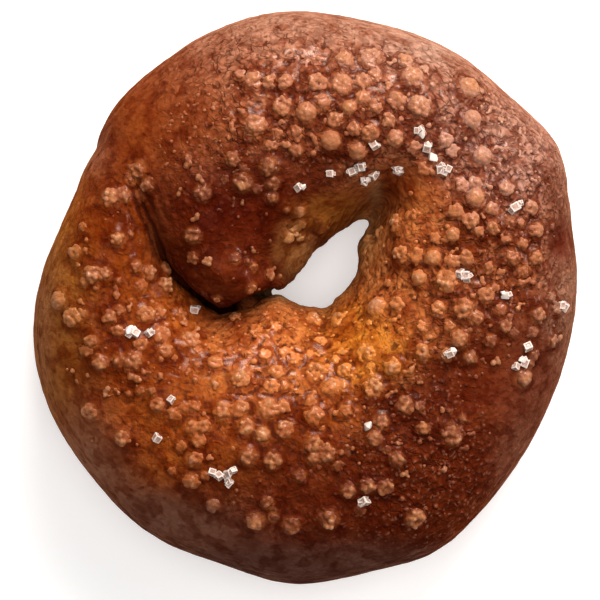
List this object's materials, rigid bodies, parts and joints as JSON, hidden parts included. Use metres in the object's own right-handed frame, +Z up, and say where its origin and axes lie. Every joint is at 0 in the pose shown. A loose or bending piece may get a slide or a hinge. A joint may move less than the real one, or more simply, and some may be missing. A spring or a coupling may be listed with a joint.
{
  "type": "salt bagel",
  "caption": "Hand-rolled ring of baked dough with a small through hole and lapped ends, its top strewn with coarse salt, resting on a flat base.",
  "frame": {"origin": "middle of the bagel's box, on the surface that its flat base rests on", "axes": "+Z up through the hole, +Y along the longest side of the ring, +X to the right as seen from above, with the lapped ends on the left"},
  "size_m": [0.1086, 0.1144, 0.0414],
  "materials": {
    "crust": "glossy baked crust, mahogany to amber, finely wrinkled",
    "salt": "bare coarse salt crystals, clear to milky white"
  },
  "bodies": {
    "root": {"bagel": "crust"}
  },
  "joints": []
}
